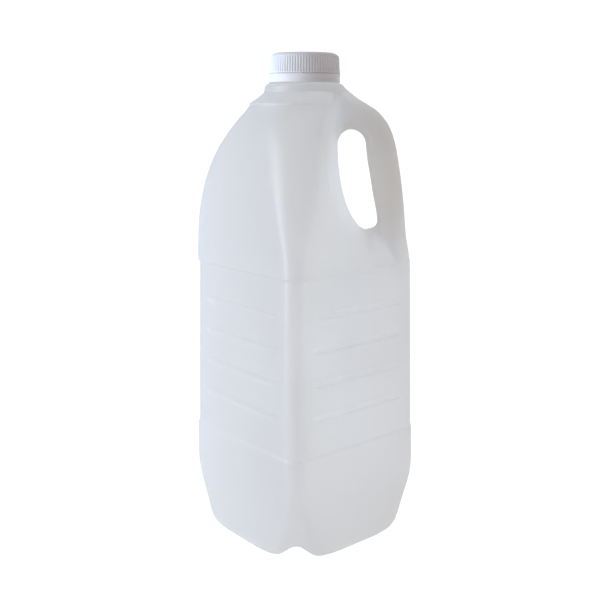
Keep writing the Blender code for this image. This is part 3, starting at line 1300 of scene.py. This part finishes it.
@dataclass
class ScrewCap:
    """The ribbed cap with its rounded crown."""

    finish: CapPlastic = field(default_factory=CapPlastic)
    name: str = "screw_cap_ribbed"
    bottom: float = 268.4
    lip_bottom: float = 268.25
    lip_inset: float = 0.35
    top: float = 280.8
    foot_radius: float = 21.55
    foot_edge: float = 0.2
    radius: float = 21.5
    top_radius: float = 21.2
    crown_radius: float = 16.2
    crown_height: float = 3.7
    crown_steps: int = 14
    wall: float = 1.7
    ceiling_slant: float = 2.2
    ceiling_ring: float = 8.0
    top_rings: tuple[float, ...] = (14.0, 11.0, 8.0, 5.0, 2.0, 0.0)
    rib_count: int = 80
    rib_depth: float = 0.5
    rib_bottom: float = 268.9
    rib_top: float = 277.7
    rib_run_in: float = 0.5
    rib_run_out: float = 1.3
    rib_top_share: float = 0.2
    rib_lead: float = 0.1
    foot_flare: float = 0.1
    bore_margin: float = 0.6
    wall_steps: int = 10
    columns_per_rib: int = 8

    def profile(self) -> list[tuple[float, float]]:
        """Draws the section from the middle of the ceiling to the middle of the top.

        Returns:
            Its (radius, height) points.
        """
        bore = self.top_radius - self.wall
        ceiling = self.top - self.wall
        lip = self.foot_radius - self.lip_inset
        foot = self.foot_radius
        points = [(0.0, ceiling), (self.ceiling_ring, ceiling)]
        points += [(bore - self.ceiling_slant, ceiling), (bore, ceiling - self.ceiling_slant)]
        points += [(bore, self.lip_bottom), (lip, self.lip_bottom), (lip, self.bottom)]
        points += [(foot - self.foot_edge, self.bottom), (foot, self.bottom + self.foot_edge)]
        start = self.rib_bottom + self.rib_run_in
        points += [(foot, self.rib_bottom), (self.radius + self.foot_flare, start)]
        shoulder = self.top - self.crown_height
        for step in range(1, self.wall_steps + 1):
            share = step / self.wall_steps
            out = self.radius + (self.top_radius - self.radius) * share
            points.append((out, start + share * (shoulder - start)))
        for step in range(1, self.crown_steps + 1):
            turn = math.pi / 2 * step / self.crown_steps
            out = self.crown_radius + (self.top_radius - self.crown_radius) * math.cos(turn)
            points.append((out, shoulder + self.crown_height * math.sin(turn)))
        points += [(out, self.top) for out in self.top_rings]
        return points

    def relief(self, rings: Array, angles: Array) -> tuple[Array, Array]:
        """Radius and height of each point, sunk between the ribs.

        Args:
            rings: the profile's points.
            angles: angle of each column.

        Returns:
            Radii and heights, one for each ring and column.
        """
        radius, height = rings[:, :1], rings[:, 1:]
        outside = radius > self.top_radius - self.wall + self.bore_margin
        phase = np.cos(angles * self.rib_count)[None, :]
        valley = np.clip((phase - self.rib_top_share) / (1 - self.rib_top_share), 0.0, 1.0)
        start = self.rib_bottom - self.rib_lead
        rise = eased(height, start, self.rib_bottom + self.rib_run_in)
        fade = 1 - eased(height, self.rib_top, self.rib_top + self.rib_run_out)
        sunk = self.rib_depth * valley * rise * fade * outside
        return radius - sunk, np.broadcast_to(height, sunk.shape)

    def build(self) -> bpy.types.Object:
        """Makes the cap.

        Returns:
            The cap, without a finish.
        """
        columns = self.rib_count * self.columns_per_rib
        mesh = revolved(self.name, self.profile(), self.relief, columns, closed=False)
        return object_of(self.name, mesh)

    def dress(self, piece: bpy.types.Object) -> None:
        """Gives the cap its finish and its place in the frame."""
        piece.data.materials.append(self.finish.material())
        hand_over(piece, Slot.CAP, "screw_cap")


@dataclass
class TamperBand:
    """The band under the cap, and the thin bridges that hold it until it is opened."""

    finish: CapPlastic = field(default_factory=lambda: CapPlastic(name="tamper_band_plastic"))
    name: str = "tamper_band_ring"
    bottom: float = 262.9
    top: float = 268.2
    radius: float = 21.88
    waist: float = 21.5
    waist_flare: float = 0.05
    waist_half_height: float = 1.0
    inner: float = 19.2
    edge: float = 0.4
    edge_steps: int = 4
    rim_flare: float = 0.06
    rim_run_in: float = 0.3
    chamfer_width: float = 0.36
    chamfer_height: float = 0.7
    chamfer_flat: float = 0.05
    chamfer_turn: float = 0.15
    columns: int = 576
    bridge_count: int = 8
    bridge_half_width: float = 0.8
    bridge_core: float = 0.5
    bridge_rise: float = 0.3
    bridge_inset: float = 0.15
    inner_margin: float = 0.5
    level_margin: float = 0.1

    def profile(self) -> list[tuple[float, float]]:
        """Draws the section, with a shallow waist and a chamfer at its top.

        Returns:
            The (radius, height) points round it.
        """
        points = [(self.inner, self.bottom), (self.radius - self.edge, self.bottom)]
        for step in range(1, self.edge_steps + 1):
            turn = math.pi / 2 * step / self.edge_steps
            out = self.radius - self.edge * (1 - math.sin(turn))
            points.append((out, self.bottom + self.edge * (1 - math.cos(turn))))
        rim = self.top - self.chamfer_height
        middle = (self.bottom + rim) / 2
        beside_waist = self.waist + self.waist_flare
        points += [(beside_waist, middle - self.waist_half_height), (self.waist, middle)]
        points += [(beside_waist, middle + self.waist_half_height)]
        points += [(self.radius - self.rim_flare, rim - self.rim_run_in), (self.radius, rim)]
        points += [(self.radius - self.chamfer_flat, rim + self.chamfer_turn)]
        edge = self.radius - self.chamfer_width
        points += [(edge, self.top - self.chamfer_flat), (edge - self.chamfer_turn, self.top)]
        points += [(self.inner, self.top)]
        return points

    def relief(self, rings: Array, angles: Array) -> tuple[Array, Array]:
        """Radius and height of each point, raised and filled out at the bridges.

        Args:
            rings: the profile's points.
            angles: angle of each column.

        Returns:
            Radii and heights, one for each ring and column.
        """
        radius, height = rings[:, :1], rings[:, 1:]
        spacing = 2 * math.pi / self.bridge_count
        off = np.abs((angles + spacing / 2) % spacing - spacing / 2) * self.radius
        core = self.bridge_half_width * self.bridge_core
        bridge = 1 - eased(off, core, self.bridge_half_width)[None, :]
        on_chamfer = height > self.top - self.chamfer_height + self.level_margin
        raised = bridge * (on_chamfer & (radius > self.inner + self.inner_margin))
        out = radius + raised * np.maximum(self.radius - self.bridge_inset - radius, 0.0)
        at_top = height > self.top - self.level_margin
        return out, height + raised * at_top * self.bridge_rise

    def build(self) -> bpy.types.Object:
        """Makes the band."""
        mesh = revolved(self.name, self.profile(), self.relief, self.columns)
        return object_of(self.name, mesh)

    def dress(self, piece: bpy.types.Object) -> None:
        """Gives the band its finish and its place in the frame."""
        piece.data.materials.append(self.finish.material())
        hand_over(piece, Slot.CAP, "tamper_band")


# --------------------------------------------------------------------- studio


@dataclass(frozen=True)
class Glow:
    """A wide soft stretch of bright surroundings."""

    towards: tuple[float, float, float]
    colour: Colour
    start: float = 0.2
    full: float = 0.95


@dataclass(frozen=True)
class Lamp:
    """A soft lamp with a rectangular face."""

    name: str
    place: tuple[float, float, float]
    aim: tuple[float, float, float]
    size: tuple[float, float]
    power: float
    colour: Colour


@dataclass
class Studio:
    """A pale cove, soft light from all round and the camera.

    The glows are, in order: front left, left, back left, back, back right and below.
    """

    paint: FloorPaint = field(default_factory=FloorPaint)
    floor_rings: tuple[float, ...] = (0.01, 0.5, 1.0, 2.0, 4.0)
    floor_height: float = -0.0002
    flat_radius: float = 6.0
    cove_radius: float = 6.0
    cove_steps: int = 24
    cove_columns: int = 64
    cove_closing: float = 2.02
    turn: float = math.radians(4.77)
    distance: float = 0.5565
    eye_height: float = 0.2505
    lens: float = 55.12
    shift: tuple[float, float] = (-0.00733, -0.3283)
    surroundings: Colour = (0.30, 0.252, 0.245)
    glows: tuple[Glow, ...] = (
        Glow((-0.82, -0.57, 0.0), (0.28, 0.335, 0.42)),
        Glow((-1.0, 0.0, 0.0), (0.23, 0.40, 0.55)),
        Glow((-0.71, 0.71, 0.0), (0.05, 0.17, 0.45)),
        Glow((0.0, 1.0, 0.0), (0.31, 0.38, 0.50)),
        Glow((0.71, 0.71, 0.0), (0.35, 0.36, 0.33)),
        Glow((0.0, 0.0, -1.0), (0.31, 0.32, 0.32), start=0.0, full=0.6),
    )
    lamps: tuple[Lamp, ...] = (
        Lamp(
            name="window",
            place=(-1.05, -0.33, 0.4),
            aim=(0.0, 0.0, 0.2),
            size=(0.6, 1.4),
            power=7.6,
            colour=(0.99, 1.0, 1.0),
        ),
    )

    def build(self) -> None:
        """Makes the cove, the surroundings, the lamps and the camera."""
        self.add_cove()
        self.light_surroundings()
        for lamp in self.lamps:
            self.add_lamp(lamp)
        self.add_camera()

    def add_cove(self) -> None:
        """Makes the floor, which curves up and closes far above, and only the camera sees it."""
        edge = [(radius, 0.0) for radius in self.floor_rings]
        for step in range(self.cove_steps + 1):
            turn = math.pi * step / self.cove_steps
            out = self.flat_radius + self.cove_radius * math.sin(turn)
            share = 0.5 - 0.5 * math.cos(turn)
            closing = min(1.0, self.cove_closing - 2 * share)
            edge.append((out * closing, 2 * self.cove_radius * share))
        profile = [(radius / MM, height / MM) for radius, height in edge]
        mesh = revolved("floor", profile, plain, self.cove_columns, closed=False)
        floor = object_of("floor", mesh)
        floor.location.z = self.floor_height
        floor.data.materials.append(self.paint.material())
        floor.visible_diffuse = floor.visible_glossy = False
        floor.visible_transmission = floor.visible_shadow = False

    def light_surroundings(self) -> None:
        """Sets the light that comes from far away in each direction."""
        world = bpy.data.worlds.new("studio_white")
        world.use_nodes = True
        graph = Graph(world.node_tree)
        direction = graph.direction()
        light: Value = self.surroundings
        for glow in self.glows:
            facing = graph.vector_maths("DOT_PRODUCT", direction, glow.towards, "Value")
            patch = graph.scaled(glow.colour, facing.step(glow.start, glow.full))
            light = graph.vector_maths("ADD", light, patch)
        background = world.node_tree.nodes["Background"]
        graph.feed(background.inputs["Color"], light)
        bpy.context.scene.world = world
        bpy.context.scene.view_settings.view_transform = "Standard"

    def add_lamp(self, lamp: Lamp) -> None:
        """Hangs a lamp and turns it to what it lights.

        Args:
            lamp: the lamp.
        """
        data = bpy.data.lights.new(lamp.name, "AREA")
        data.shape = "RECTANGLE"
        data.size, data.size_y = lamp.size
        data.energy = lamp.power
        data.color = lamp.colour
        hung = bpy.data.objects.new(lamp.name, data)
        bpy.context.scene.collection.objects.link(hung)
        hung.location = lamp.place
        back = Vector(lamp.place) - Vector(lamp.aim)
        hung.rotation_euler = back.to_track_quat("Z", "Y").to_euler()
        hung.visible_camera = False

    def add_camera(self) -> None:
        """Places the camera, level, with its frame shifted down to the bottle."""
        data = bpy.data.cameras.new("camera")
        data.lens = self.lens
        data.shift_x, data.shift_y = self.shift
        data.clip_end = 200.0
        camera = bpy.data.objects.new("camera", data)
        bpy.context.scene.collection.objects.link(camera)
        camera.location = (
            self.distance * math.sin(self.turn),
            -self.distance * math.cos(self.turn),
            self.eye_height,
        )
        camera.rotation_euler = (math.pi / 2, 0.0, self.turn)
        bpy.context.scene.camera = camera


def main() -> None:
    """Builds and dresses each piece, then the studio round them."""
    logging.basicConfig(level=logging.INFO, format="%(name)s %(message)s")
    for assembly in (Bottle(), ScrewCap(), TamperBand()):
        assembly.dress(assembly.build())
    Studio().build()


if __name__ == "__main__":
    main()
